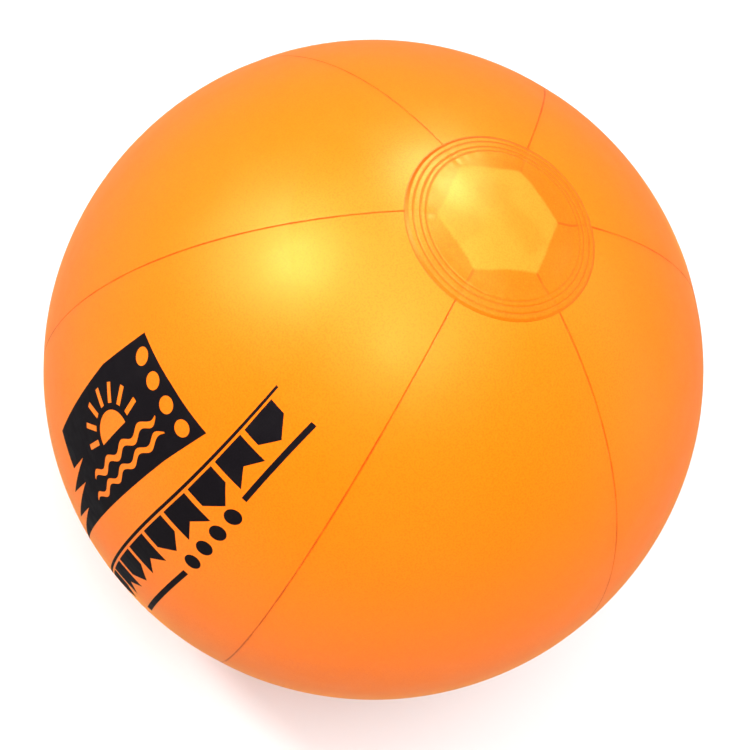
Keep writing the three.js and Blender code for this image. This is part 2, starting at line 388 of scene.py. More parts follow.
def disc_relief(points, from_axis, turn, bulge):
    """Height of the disc's film over the sphere it is welded to."""
    share = 1 - smooth(*SHIFT_END, from_axis)
    seam, hexagon = hexagon_distances(points - share[:, None] * HEXAGON_SHIFT)
    inside = 1 - smooth(-HEXAGON_SLOPE, HEXAGON_SLOPE, hexagon - RADIUS * math.tan(OPENING_POLAR))
    grooves = sum(
        deep * MM * np.exp(-(((from_axis - math.radians(angle)) / GROOVE_WIDTH) ** 2))
        for angle, deep in WELD_GROOVES
    )
    band = smooth(WELD_BAND - BAND_SLOPE, WELD_BAND, from_axis)
    edge = smooth(DISC_EDGE - EDGE_SLOPE, DISC_EDGE, from_axis)
    height = band * BAND_RISE * (1 - edge) - EDGE_PRESS * edge - grooves
    crease = CREASE_DEPTH * np.exp(-((seam / CREASE_WIDTH) ** 2))
    height = height - crease * (1 - inside) * (LOOSE_CREASE + (1 - LOOSE_CREASE) * band)
    height = height - SEAM_DIP * np.exp(-((seam / SEAM_DIP_REACH) ** 2)) * (1 - inside)
    pull = PULL_HEIGHT * np.sin(PULL_COUNT * turn + 3 * np.sin(5 * turn))
    height = height + pull * np.exp(-(((from_axis - WELD_BAND) / PULL_REACH) ** 2))
    dome = bulge * np.maximum(0, 1 - (from_axis / BULGE_EDGE) ** 2)
    return height + dome - inside * HEXAGON_STEP


def end_disc(name, node, axis, bulge, material):
    """A round disc of film over an opening. Its two faces meet in a rounded rim."""
    axis = Vector(axis).normalized()
    side = axis.orthogonal().normalized()
    axis, side, other = (np.array(v) for v in (axis, side, axis.cross(side)))
    angles = np.concatenate([np.linspace(*stretch) for stretch in DISC_ROWS])
    turn = np.arange(DISC_SEGMENTS) * 2 * math.pi / DISC_SEGMENTS
    from_axis, around = (grid.ravel() for grid in np.meshgrid(angles, turn, indexing="ij"))
    flat = np.outer(np.cos(around), side) + np.outer(np.sin(around), other)
    ray = np.outer(np.cos(from_axis), axis) + flat * np.sin(from_axis)[:, None]
    height = disc_relief(ray * RADIUS, from_axis, around, bulge)
    loops = []
    for thickness in (FILM, 0):
        reach = RADIUS + DISC_LIFT + thickness + height
        if axis[2] < 0:  # the bottom disc is flat where the ball stands on it
            floor = abs(FLOOR_Z) - (FILM - thickness)
            reach = np.minimum(reach, floor / -ray[:, 2])
        loops.append((ray * reach[:, None]).reshape(len(angles), DISC_SEGMENTS, 3))
    outer, inner = loops
    rim_angle = DISC_EDGE + RIM_ROUNDING / RADIUS
    rim_ray = math.cos(rim_angle) * axis + math.sin(rim_angle) * flat[-DISC_SEGMENTS:]
    rim = rim_ray * np.linalg.norm((outer[-1] + inner[-1]) / 2, axis=1)[:, None]
    rings = np.concatenate((outer, rim[None], inner[::-1]))
    points = np.vstack((rings.reshape(-1, 3), outer[0].mean(0), inner[0].mean(0)))
    count = DISC_SEGMENTS
    faces = ring_faces(len(rings), count)
    top, under = len(points) - 2, len(points) - 1
    last = (len(rings) - 1) * count
    for k in range(count):
        n = (k + 1) % count
        faces.append((top, k, n))
        faces.append((under, last + n, last + k))
    return make_piece(name, points, faces, material, nodes=[node])


# ---- Valve ----

FLANGE_IN, FLANGE_OUT, FLANGE_DEPTH, FLANGE_THICK = 7.5 * MM, 13 * MM, 0.9 * MM, 0.8 * MM
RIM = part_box("valve_stem")[1].y  # the stem's outer end
STEM_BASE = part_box("valve_stem")[0].y
LIP_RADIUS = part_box("valve_stem")[1].x
BORE_RADIUS = 3.3 * MM
STEM_RADIUS = 4.6 * MM
LIP = 1.2 * MM
SEAT = RIM + 0.3 * MM  # the cap's underside
CAP_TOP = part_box("valve_plug")[1].y
CAP_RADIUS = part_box("valve_plug")[1].x
PIN_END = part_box("valve_plug")[0].y
STRAP_WIDTH = 4 * MM
STRAP_THICK = 1 * MM
HINGE_Z = -9.5 * MM  # where the strap folds
FLAP_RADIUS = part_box("check_flap")[1].x
FLAP_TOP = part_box("check_flap")[1].y
SLEEVE_ROW = 0.6 * MM
TAB_WIDTH = 5 * MM
TAB_RIBS = 3
RIB_LENGTH, RIB_WIDTH, RIB_PITCH = 3.2 * MM, 0.4 * MM, 0.9 * MM
FLAT_INSET = 1.8  # how far in a slab's flat faces begin, in units of its rounding


def ring_piece(name, outline, material, **options):
    """A turned piece. The outline is in metres and turns anticlockwise, seen as radius, height."""
    points, faces = lathe(outline)
    return make_piece(name, points, faces, material, slot="valve", **options)


def valve_flange(material):
    """The ring that is welded under the back panel and curves with the ball."""
    top, under = RADIUS - FLANGE_DEPTH, RADIUS - FLANGE_DEPTH - FLANGE_THICK
    radii = np.linspace(FLANGE_IN, FLANGE_OUT, 8)
    lower = [(r, math.sqrt(under**2 - r**2)) for r in radii]
    upper = [(r, math.sqrt(top**2 - r**2)) for r in radii[::-1]]
    corners = (0, len(lower) - 1, len(lower), len(lower) + len(upper) - 1)
    keep = [i for i in range(len(lower) + len(upper)) if i not in corners]
    outline = rounded(lower + upper, 0.3 * MM, sharp=keep)
    return ring_piece("valve_flange_ring", outline, material, nodes=["valve_flange"])


def valve_boot(material):
    """A thin sleeve from the flange down to the stem's foot."""
    top, base = RADIUS - 1.35 * MM, RADIUS - 11.7 * MM
    wall, foot = 0.7 * MM, STEM_RADIUS + 0.1 * MM
    outside = [(6.2 * MM, base + 0.8 * MM), (6.35 * MM, base + 4 * MM), (7.0 * MM, top - 2.2 * MM)]
    outline = [(foot, base), (6.0 * MM, base)]
    outline += [*outside, (7.45 * MM, top - 0.5 * MM), (7.45 * MM, top)]
    outline += [(6.75 * MM, top), (6.6 * MM, top - 0.8 * MM)]
    outline += [(r - wall, y) for r, y in reversed(outside)]
    outline += [(5.3 * MM, base + wall), (foot, base + wall)]
    dense = []  # close rows, so that the sleeve can bend
    for (r0, y0), (r1, y1) in zip(outline, outline[1:] + outline[:1]):
        steps = max(1, round(abs(y1 - y0) / SLEEVE_ROW))
        dense += [(r0 + (r1 - r0) * k / steps, y0 + (y1 - y0) * k / steps) for k in range(steps)]
    points, faces = lathe(rounded(dense, 0.25 * MM))
    boot = make_piece(
        "valve_boot_sleeve", points, faces, material, body=None, nodes=["valve_boot"], slot="valve"
    )
    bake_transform(boot)
    return boot


def slab(outline, base, thickness, rounding):
    """A flat plate with rounded edges. The outline holds (x, z) pairs and thickness is along +Y."""
    flat = np.array(outline)
    ahead, behind = np.roll(flat, -1, 0), np.roll(flat, 1, 0)
    along = ahead - behind
    area = np.sum(flat[:, 0] * ahead[:, 1] - ahead[:, 0] * flat[:, 1])
    normal = np.stack((along[:, 1], -along[:, 0]), 1) * np.sign(area)
    normal /= np.linalg.norm(normal, axis=1)[:, None]
    loops = []
    turns = np.linspace(0, math.pi / 2, 5)
    lower = [(1 - math.sin(t), 1 - math.cos(t)) for t in turns]
    upper = [(inset, -rise) for inset, rise in reversed(lower)]
    sections = [(FLAT_INSET, 0), *lower, *upper, (FLAT_INSET, 0)]
    for i, (inset, rise) in enumerate(sections):
        level = base + rounding * rise if i <= len(lower) else base + thickness + rounding * rise
        edge = flat - normal * inset * rounding
        loops.append(np.stack((edge[:, 0], np.full(len(edge), level), edge[:, 1]), 1))
    count = len(flat)
    faces = ring_faces(len(loops), count)
    faces.append(tuple(range(count)))
    faces.append(tuple(range(len(loops) * count - 1, (len(loops) - 1) * count - 1, -1)))
    return np.vstack(loops), faces


def rounded_strip(start, end, width, taper=1.0):
    """Outline of a strip from z = start to z = end with round ends. taper scales the end's width."""
    half = width / 2
    turns = np.linspace(0, math.pi, 13)
    far, near = half * taper, half
    outline = [(far * math.cos(t), end - far + far * math.sin(t)) for t in turns]
    outline += [(-near * math.cos(t), start + near - near * math.sin(t)) for t in turns]
    return outline


def joined(*parts):
    """Several pairs of points and faces as one pair."""
    points, faces = [], []
    for part_points, part_faces in parts:
        start = sum(len(p) for p in points)
        points.append(np.asarray(part_points))
        faces.extend(tuple(i + start for i in face) for face in part_faces)
    return np.vstack(points), faces


def apply_modifiers(piece):
    """Replaces the piece's mesh with the result of its modifiers."""
    bpy.context.view_layer.update()
    result = bpy.data.meshes.new_from_object(
        piece.evaluated_get(bpy.context.evaluated_depsgraph_get())
    )
    piece.modifiers.clear()
    piece.data = result
    result.shade_smooth()


def mould(piece, voxel, rounds):
    """Fuses the piece's overlapping solids into one skin with small fillets, as a mould gives."""
    remesh = piece.modifiers.new("fuse", "REMESH")
    remesh.mode = "VOXEL"
    remesh.voxel_size = voxel
    relax = piece.modifiers.new("relax", "SMOOTH")
    relax.factor = 0.5
    relax.iterations = rounds
    apply_modifiers(piece)


def valve_stem(material):
    """The tube to blow into, with its lip and the lug that holds the strap."""
    tube = rounded(
        [
            (BORE_RADIUS, STEM_BASE),
            (STEM_RADIUS, STEM_BASE),
            (STEM_RADIUS, RIM - LIP),
            (LIP_RADIUS, RIM - LIP),
            (LIP_RADIUS, RIM),
            (BORE_RADIUS, RIM),
        ],
        0.4 * MM,
    )
    lug_outline = rounded_strip(HINGE_Z + 0.6 * MM, -BORE_RADIUS, STRAP_WIDTH)
    lug = slab(lug_outline, RIM - STRAP_THICK, STRAP_THICK, 0.3 * MM)
    points, faces = joined(lathe(tube), lug)
    stem = make_piece(
        "valve_stem_tube", points, faces, material, "stem", ["valve_stem"], slot="valve"
    )
    mould(stem, 0.16 * MM, 5)
    return stem


def valve_plug(material):
    """The stopper: a stepped pin, a dished cap and a ribbed pull tab."""
    thick = CAP_TOP - SEAT
    pin_tip, pin_root = 1.9 * MM, 3.05 * MM
    outline = [
        (0, PIN_END),
        (pin_tip - 0.5 * MM, PIN_END),
        (pin_tip, PIN_END + 0.5 * MM),
        (pin_tip + 0.5 * MM, PIN_END + 2.2 * MM),
        (pin_root, PIN_END + 2.8 * MM),
        (pin_root - 0.3 * MM, PIN_END + 3.4 * MM),
        (pin_root - 0.1 * MM, SEAT),
        (CAP_RADIUS - 0.2 * MM, SEAT),
        (CAP_RADIUS, SEAT + 0.3 * thick),
        (CAP_RADIUS, SEAT + 0.7 * thick),
        (CAP_RADIUS - 0.45 * MM, CAP_TOP - 0.12 * MM),
        (CAP_RADIUS - 1.1 * MM, CAP_TOP),
        (CAP_RADIUS - 1.7 * MM, CAP_TOP - 0.28 * MM),
        (0, CAP_TOP - 0.30 * MM),
    ]
    tab_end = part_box("valve_plug")[1].z
    tab_outline = rounded_strip(CAP_RADIUS - 1.6 * MM, tab_end, TAB_WIDTH, 0.9)
    tab = slab(tab_outline, SEAT + 0.5 * MM, 0.85 * MM, 0.3 * MM)
    ribs = []
    for k in range(TAB_RIBS):
        middle = tab_end - 1 * MM - RIB_PITCH * k
        low, high = middle - RIB_WIDTH / 2, middle + RIB_WIDTH / 2
        left, right = -RIB_LENGTH / 2, RIB_LENGTH / 2
        rib = [(left, low), (right, low), (right, high), (left, high)]
        ribs.append(slab(rib, SEAT + 1.1 * MM, 0.42 * MM, 0.08 * MM))
    points, faces = joined(lathe(outline), tab, *ribs)
    plug = make_piece(
        "valve_plug_cap", points, faces, material, "plug", ["valve_plug"], slot="valve"
    )
    mould(plug, 0.14 * MM, 4)
    return plug


def plug_strap(material):
    """The strap folds back on itself from the stem's lug to the cap."""
    low, high = RIM - STRAP_THICK / 2, SEAT + STRAP_THICK / 2
    middle, bend = (low + high) / 2, (high - low) / 2
    fold_z = HINGE_Z + bend
    path = [(low, fold_z + 1.5 * MM - 0.3 * MM * k) for k in range(5)]
    turns = np.linspace(0, math.pi, 13)
    path += [(middle - bend * math.cos(t), fold_z - bend * math.sin(t)) for t in turns]
    reach = -(CAP_RADIUS - 0.5 * MM) - fold_z
    path += [(high, fold_z + reach * k / 8) for k in range(1, 9)]
    centre = np.array(path)
    step = np.gradient(centre, axis=0)
    step /= np.linalg.norm(step, axis=1)[:, None]
    normal = np.stack((step[:, 1], -step[:, 0]), 1)
    corner_turns = np.linspace(0, 2 * math.pi, 25)[:-1]
    half_width, half_thick = STRAP_WIDTH / 2 - 0.05 * MM, STRAP_THICK / 2 - 0.03 * MM
    section = []  # a rounded oblong
    for t in corner_turns:
        x, height = math.cos(t), math.sin(t)
        x = half_width * np.sign(x) * abs(x) ** 0.35
        height = half_thick * np.sign(height) * abs(height) ** 0.5
        section.append((x, height))
    loops = []
    for (y, z), (ny, nz) in zip(centre, normal):
        loops.append([(x, y + ny * h, z + nz * h) for x, h in section])
    count = len(section)
    points = np.array(loops).reshape(-1, 3)
    faces = [face[::-1] for face in ring_faces(len(loops), count)]
    faces.append(tuple(range(count - 1, -1, -1)))
    faces.append(tuple(range(len(points) - count, len(points))))
    strap = make_piece(
        "plug_strap_fold", points, faces, material, body=None, nodes=["plug_strap"], slot="valve"
    )
    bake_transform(strap)
    return strap


def check_flap(material):
    """A thin soft disc under the stem that lets air in and shuts against it coming out."""
    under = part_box("check_flap")[0].y
    corners = [(0, under), (FLAP_RADIUS, under), (FLAP_RADIUS, FLAP_TOP), (0, FLAP_TOP)]
    outline = rounded(corners, 0.25 * MM, sharp=(0, 3))
    return ring_piece("check_flap_disc", outline, material, body="flap", nodes=["check_flap"])


# ---- Print on the front panel ----

# The shapes are drawn in mm along the print and across it, as it lies on the flat film.
ARC_POINTS = 24  # per arc or dot
PRINT_CELL = 4 * MM  # the print is cut this fine so that it follows the ball
INK_GAP = 0.012 * MM
INK_THICK = 0.035 * MM


def wave_band(start, end, middle, thickness, height, length):
    """A wavy stripe: distances along and across the print in mm."""
    along = np.linspace(start, end, 60)
    line = middle + height * np.sin(2 * math.pi * (along - start) / length)
    taper = np.minimum(1, np.minimum(along - start, end - along) / 6 + 0.25)
    upper = list(zip(along, line + thickness / 2 * taper))
    lower = list(zip(along, line - thickness / 2 * taper))
    return lower + upper[::-1]


def arc(middle, radius, start, end):
    """Points on an arc. Its start and its end are in degrees."""
    turns = np.radians(np.linspace(start, end, ARC_POINTS))
    return [(middle[0] + radius * math.cos(t), middle[1] + radius * math.sin(t)) for t in turns]


def badge_shapes():
    """A flag with torn tails. A rising sun, two waves and a row of bubbles stay free of ink."""
    sun = (67, 16)
    flag = [(84, -5.2), (106, -7.5), (104, 14), (100.5, 37.5), (75, 40.5), (27, 37), (25, 21)]
    tails = [(39, 20), (12, 15), (31, 12.5), (-2, 7.5), (20, 5), (-22, 0.4)]
    shapes = [flag + tails, arc(sun, 9, 0, 180)]
    for k in range(7):
        turn = math.radians(12 + 26 * k)
        inner, outer = 11.5, 19
        spread = math.radians(5.5)
        ray = [(inner, -spread), (outer, -0.6 * spread), (outer, 0.6 * spread), (inner, spread)]
        shapes.append(
            [(sun[0] + r * math.cos(turn + a), sun[1] + r * math.sin(turn + a)) for r, a in ray]
        )
    shapes.append(wave_band(41, 91, 9.6, 2.8, 1.3, 12.5))
    shapes.append(wave_band(34, 91, 3.0, 2.4, 1.2, 12.5))
    for k in range(4):
        shapes.append(arc((98.6 - 0.8 * k, -0.5 + 10.4 * k), 3.3, 0, 345))
    return shapes


BUNTING_LINE = -17.5  # mm across the print
BUNTING_BEND = 70  # mm along the print, where the line starts to rise
BUNTING_CURVE = 610  # mm, twice the radius of that rise
PENNANTS = 9


def on_the_line(points):
    """Places points of the bunting, given from its line, where the line rises."""
    placed = []
    for along, across in points:
        rise = max(0, along - BUNTING_BEND) ** 2 / BUNTING_CURVE
        placed.append((along, across * (1 - 0.03 * rise) + BUNTING_LINE + rise))
    return placed


def bunting_shapes():
    """Pennants on a line that slopes a little, each cut to a point or a swallowtail."""
    width, gap, foot = 14.8, 2.4, -15.5
    line = np.linspace(-24, 138, 28)
    shapes = [on_the_line([(x, 1) for x in line] + [(x, -0.3) for x in line[::-1]])]
    for k in range(PENNANTS):
        left = -19 + k * (width + gap)
        right, middle = left + width, left + width / 2
        pennant = [(left, -1.4), (right, -1.4)]
        if k % 2:
            pennant += [(right, foot), (middle, foot + 5), (left, foot)]
        else:
            pennant += [(right, foot + 6), (middle, foot), (left, foot + 6)]
        shapes.append(on_the_line(pennant))
    return shapes


def lower_line_shapes():
    """Two thin bars with four dots between them."""
    shapes = [[(-8, -42), (51, -42.4), (51, -40), (-8, -39.6)]]
    shapes.append([(99, -35.4), (138, -28.8), (138, -26.5), (99, -33.1)])
    for k in range(4):
        shapes.append(arc((59 + 10.4 * k, -39.9 + 1.1 * k), 3.4, 0, 345))
    return shapes


def flat_print(shapes):
    """The filled shapes as a flat mesh in mm. A shape inside another is a hole in it."""
    curve = bpy.data.curves.new("print_outline", "CURVE")
    curve.dimensions = "2D"
    curve.fill_mode = "BOTH"
    for shape in shapes:
        line = curve.splines.new("POLY")
        line.points.add(len(shape) - 1)
        for point, (along, across) in zip(line.points, shape):
            point.co = (along, across, 0, 1)
        line.use_cyclic_u = True
    holder = bpy.data.objects.new("print_outline", curve)
    bpy.context.scene.collection.objects.link(holder)
    bpy.context.view_layer.update()
    flat = bmesh.new()
    mesh = bpy.data.meshes.new_from_object(
        holder.evaluated_get(bpy.context.evaluated_depsgraph_get())
    )
    flat.from_mesh(mesh)
    bpy.data.objects.remove(holder)
    bpy.data.curves.remove(curve)
    bpy.data.meshes.remove(mesh)
    return flat


def front_print(material):
    """The ink: the flat design cut into small cells, given its thickness and laid on the ball."""
    ink = flat_print(badge_shapes() + bunting_shapes() + lower_line_shapes())
    bmesh.ops.remove_doubles(ink, verts=ink.verts, dist=1e-4)
    corners = np.array([v.co for v in ink.verts]) * MM
    for axis in range(2):
        low, high = corners[:, axis].min(), corners[:, axis].max()
        normal = tuple(float(i == axis) for i in range(3))
        for k in range(1, math.ceil((high - low) / PRINT_CELL)):
            place = tuple((low + k * PRINT_CELL) / MM * n for n in normal)
            everything = [*ink.verts, *ink.edges, *ink.faces]
            bmesh.ops.bisect_plane(ink, geom=everything, plane_co=place, plane_no=normal)
    top = bmesh.ops.extrude_face_region(ink, geom=ink.faces[:])
    lifted = {v for v in top["geom"] if isinstance(v, bmesh.types.BMVert)}
    for vertex in lifted:
        vertex.co.z = 1
    bmesh.ops.recalc_face_normals(ink, faces=ink.faces)
    for vertex in ink.verts:
        along, across = vertex.co.x * MM, -vertex.co.y * MM
        polar = math.pi / 2 - along / RADIUS
        around = across / (RADIUS * math.sin(polar)) + FIRST_PANEL
        reach = RADIUS + INK_GAP + (INK_THICK if vertex in lifted else 0)
        vertex.co = Vector(on_sphere(reach, polar, around))
    mesh = bpy.data.meshes.new("front_print")
    ink.to_mesh(mesh)
    ink.free()
    mesh.materials.append(material)
    piece = bpy.data.objects.new("front_print", mesh)
    bpy.context.scene.collection.objects.link(piece)
    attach(piece, "ball")
    return piece


# ---- Materials ----

def add_node(tree, kind, inputs=None, **settings):
    item = tree.nodes.new("ShaderNode" + kind)
    for key, value in settings.items():
        setattr(item, key, value)
    for key, value in (inputs or {}).items():
        if isinstance(value, bpy.types.NodeSocket):
            tree.links.new(value, item.inputs[key])
        else:
            item.inputs[key].default_value = value
    return item


def maths(tree, operation, first, second=0.0):
    return add_node(tree, "Math", {0: first, 1: second}, operation=operation).outputs[0]


def soft_step(tree, value, low, high, bottom=0.0, top=1.0):
    inputs = {"Value": value, "From Min": low, "From Max": high, "To Min": bottom, "To Max": top}
    node = add_node(tree, "MapRange", inputs, interpolation_type="SMOOTHSTEP")
    return node.outputs["Result"]


def mixed(tree, share, first, second, blend="MIX"):
    inputs = {0: share, 6: first, 7: second}
    node = add_node(tree, "Mix", inputs, data_type="RGBA", blend_type=blend)
    return node.outputs[2]


def noise(tree, place, scale, detail, roughness=0.5):
    inputs = {"Vector": place, "Scale": scale, "Detail": detail, "Roughness": roughness}
    return add_node(tree, "TexNoise", inputs).outputs["Fac"]


def bump(tree, height, distance, strength, normal=None):
    inputs = {"Height": height, "Distance": distance, "Strength": strength}
    if normal is not None:
        inputs["Normal"] = normal
    return add_node(tree, "Bump", inputs).outputs["Normal"]


def new_material(name, **values):
    """A material with a Principled shader, its node tree, and the object coordinates."""
    material = bpy.data.materials.new(name)
    material.use_nodes = True
    tree = material.node_tree
    shader = tree.nodes["Principled BSDF"]
    for key, value in values.items():
        shader.inputs[key.replace("_", " ")].default_value = value
    place = add_node(tree, "TexCoord").outputs["Object"]
    return material, tree, shader, place


FILM_ORANGE = (1.0, 0.190, 0.0015, 1)
FILM_DEEP = (1.0, 0.154, 0.0010, 1)  # two layers of film; also the painted shadow beside the seams
FILM_PALE = (1.0, 0.262, 0.018, 1)  # one layer of film
# The dark orange of the weld lines, also the colour of painted shade in the seams' grooves, in the
# discs' weld grooves and creases and along the discs' edges.
WELD_AND_SHADE_ORANGE = (0.71, 0.097, 0.0005, 1)
GRAIN_TINT = (0.92, 0.60, 0.3, 1)
GLOSS_TINT = (1.0, 0.86, 0.23, 1)
SHEEN_TINT = (1.0, 0.55, 0.06, 1)
FLANGE_GLOW = (1.0, 0.42, 0.10, 1)  # film over the valve's pale flange
PVC_CLOUDY = (0.86, 0.80, 0.70, 1)
PVC_CLEAR = (0.93, 0.90, 0.84, 1)
INK_DENSE = (0.0035, 0.0022, 0.0034, 1)
INK_THIN = (0.006, 0.004, 0.0058, 1)
INK_WORN = (0.009, 0.006, 0.007, 1)
FLOOR_TONES = (0.80, 0.80, 0.80, 1), (0.83, 0.83, 0.83, 1)
FILM_GLOSS = 0.43  # the shader's specular level
DISC_GLOSS = 0.37
SEAM_LINE = 0.25 * MM, 0.65 * MM  # from the seam: the core of the weld line, which is partly painted shade in the seam's groove, and where it ends
SEAM_SHADOW_BAND = 0.8 * MM, 5 * MM  # the same for a band of painted shadow beside a seam, cast by the fins inside
CREASE_LINE = 0.25 * MM, 0.7 * MM  # the same for a seam that shows through an end disc, with painted shade in the crease the disc makes over it
OPENING_WANDER = 2 * MM  # how uneven the opening's edge is
OPENING_BLUR = 0.7 * MM
GROOVE_LINES = ((13.0, 1), (12.05, 1), (11.35, 0.9))  # degrees from the centre, darkness of the line in each weld groove, partly the weld's own line and partly painted shade
RIM_SHADE_LINE = 13.55, 13.72  # degrees: where the rim's thick line of painted shade, on the side towards the lights, starts and is full
THIN_RIM = 13.86, 13.98  # degrees: the same for the faint line all round, the disc edge's own line with painted shadow of its step
LIT_SIDE = (-0.95, -0.32, 0.0)  # the side of the end discs towards the lights: the painted shade and painted highlight on and beside the discs change from the far side to this one


def degrees_from(tree, place, axis):
    """The angle between the place and an axis through the ball's centre, in degrees."""
    towards = tuple(Vector(axis).normalized())
    dot = add_node(tree, "VectorMath", {0: place, 1: towards}, operation="DOT_PRODUCT")
    length = add_node(tree, "VectorMath", {0: place}, operation="LENGTH")
    cosine = maths(tree, "DIVIDE", dot.outputs["Value"], length.outputs["Value"])
    return maths(tree, "DEGREES", maths(tree, "ARCCOSINE", cosine))


def lit_side_share(tree, place, low, high, bottom=0.0, top=1.0):
    """A share that changes across an end disc, from the side away from the lights to the side
    towards them, for painted shade and highlight.
    """
    dot = add_node(tree, "VectorMath", {0: place, 1: LIT_SIDE}, operation="DOT_PRODUCT")
    return soft_step(tree, dot.outputs["Value"], low, high, bottom, top)


def ring_line(tree, degrees, angle, core, end, share=1.0):
    """A line round a disc. Its angle from the centre, its core and its end are in degrees."""
    gap = maths(tree, "ABSOLUTE", maths(tree, "SUBTRACT", degrees, angle))
    return soft_step(tree, gap, core, end, share, 0)


def seam_planes(tree, place):
    """Distances from the nearest seam's plane and to the hexagon's sides, in metres."""
    flat = add_node(tree, "VectorMath", {0: place, 1: (1, 1, 0)}, operation="MULTIPLY").outputs[0]
    spans = []
    for x, y in SEAM_NORMALS:
        dot = add_node(tree, "VectorMath", {0: flat, 1: (x, y, 0)}, operation="DOT_PRODUCT")
        spans.append(maths(tree, "ABSOLUTE", dot.outputs["Value"]))
    nearest = maths(tree, "MINIMUM", maths(tree, "MINIMUM", spans[0], spans[1]), spans[2])
    furthest = maths(tree, "MAXIMUM", maths(tree, "MAXIMUM", spans[0], spans[1]), spans[2])
    return nearest, furthest


def film_finish(tree, shader, place, colour, normal=None):
    """The look that all the film shares: cloudy colour, fine grain, and a soft uneven gloss."""
    cloud = noise(tree, place, 14, 2)
    grain = noise(tree, place, 1500, 2, 0.6)
    fleck = noise(tree, place, 620, 1)
    colour = mixed(tree, soft_step(tree, cloud, 0.35, 0.7, 0, 0.10), colour, FILM_DEEP)
    speckle = soft_step(tree, grain, 0.42, 0.66, 0, 0.42)
    colour = mixed(tree, speckle, colour, GRAIN_TINT, "MULTIPLY")
    colour = mixed(tree, soft_step(tree, fleck, 0.62, 0.74, 0, 0.12), colour, FILM_PALE)
    tree.links.new(colour, shader.inputs["Base Color"])
    haze = noise(tree, place, 60, 3, 0.6)
    tree.links.new(soft_step(tree, haze, 0.25, 0.75, 0.36, 0.42), shader.inputs["Roughness"])
    ripple = noise(tree, place, 45, 2)
    normal = bump(tree, ripple, 0.25 * MM, 0.35, normal)
    normal = bump(tree, grain, 0.03 * MM, 0.5, normal)
    tree.links.new(normal, shader.inputs["Normal"])


def new_film(name, gloss):
    """A film material's shader values. film_finish adds its colour and its surface."""
    return new_material(
        name,
        IOR=1.65,
        Specular_IOR_Level=gloss,
        Specular_Tint=GLOSS_TINT,
        Sheen_Weight=0.3,
        Sheen_Roughness=0.2,
        Sheen_Tint=SHEEN_TINT,
    )


def flange_shine(tree, place):
    """The share of the valve's pale flange that shows through the back panel it is welded to."""
    offset = add_node(
        tree, "VectorMath", {0: place, 1: (0, RADIUS, 0)}, operation="DISTANCE"
    ).outputs["Value"]
    outer = soft_step(tree, offset, FLANGE_OUT - 1.2 * MM, FLANGE_OUT + 0.3 * MM, 0.5, 0)
    inner = soft_step(tree, offset, VALVE_HOLE - 1 * MM, VALVE_HOLE)
    return maths(tree, "MULTIPLY", outer, inner)


def film_material(name):
    """The panels: weld lines along the seams that are partly painted shade, painted shadow beside
    them, and painted shade along the end discs' edges.
    """
    material, tree, shader, place = new_film(name, FILM_GLOSS)
    seam, _ = seam_planes(tree, place)
    uneven = soft_step(tree, noise(tree, place, 60, 3, 0.7), 0.36, 0.62, 0.45, 1)
    # The seam's line is the weld's own darker line and painted shade in its groove.
    seam_line_and_shade = maths(tree, "MULTIPLY", soft_step(tree, seam, *SEAM_LINE, 1, 0), uneven)
    # A soft band of painted shadow beside each seam, from the fins inside the ball.
    colour = mixed(tree, soft_step(tree, seam, *SEAM_SHADOW_BAND, 0.12, 0), FILM_ORANGE, FILM_DEEP)
    colour = mixed(tree, seam_line_and_shade, colour, WELD_AND_SHADE_ORANGE)
    # Painted shade along each end disc's edge on the panels, darkest on the side towards the lights.
    for axis in (TOP_AXIS, BOTTOM_AXIS):
        line = ring_line(tree, degrees_from(tree, place, axis), DISC_SHADE_LINE, 0.04, 0.2)
        line = maths(tree, "MULTIPLY", line, lit_side_share(tree, place, -26 * MM, 18 * MM))
        colour = mixed(tree, line, colour, WELD_AND_SHADE_ORANGE)
    colour = mixed(tree, flange_shine(tree, place), colour, FLANGE_GLOW)
    film_finish(tree, shader, place, colour)
    return material


def disc_seam_planes(tree, place, degrees):
    """seam_planes with the opening's shift, which fades out towards the disc's edge."""
    shift_end = [math.degrees(angle) for angle in SHIFT_END]
    share = soft_step(tree, degrees, *shift_end, 1, 0)
    shift = add_node(
        tree, "VectorMath", {0: HEXAGON_SHIFT, "Scale": share}, operation="SCALE"
    ).outputs[0]
    shifted = add_node(tree, "VectorMath", {0: place, 1: shift}, operation="SUBTRACT").outputs[0]
    return seam_planes(tree, shifted)


def disc_lines(tree, place, degrees, colour):
    """Adds darker lines in the grooves between the beads and along the rim: partly the welds' own
    lines, partly painted shade, stronger on the side towards the lights.
    """
    for angle, share in GROOVE_LINES:
        groove = ring_line(tree, degrees, angle, 0.07, 0.2, share)
        groove = maths(tree, "MULTIPLY", groove, lit_side_share(tree, place, -30 * MM, 30 * MM, 0.5))
        colour = mixed(tree, groove, colour, WELD_AND_SHADE_ORANGE)
    thin = soft_step(tree, degrees, *THIN_RIM, 0, 0.15)
    # The thick line is painted shade on the side towards the lights.
    thick = soft_step(tree, degrees, *RIM_SHADE_LINE)
    thick = maths(tree, "MULTIPLY", thick, lit_side_share(tree, place, -5 * MM, 30 * MM))
    return mixed(tree, maths(tree, "MAXIMUM", thin, thick), colour, WELD_AND_SHADE_ORANGE)


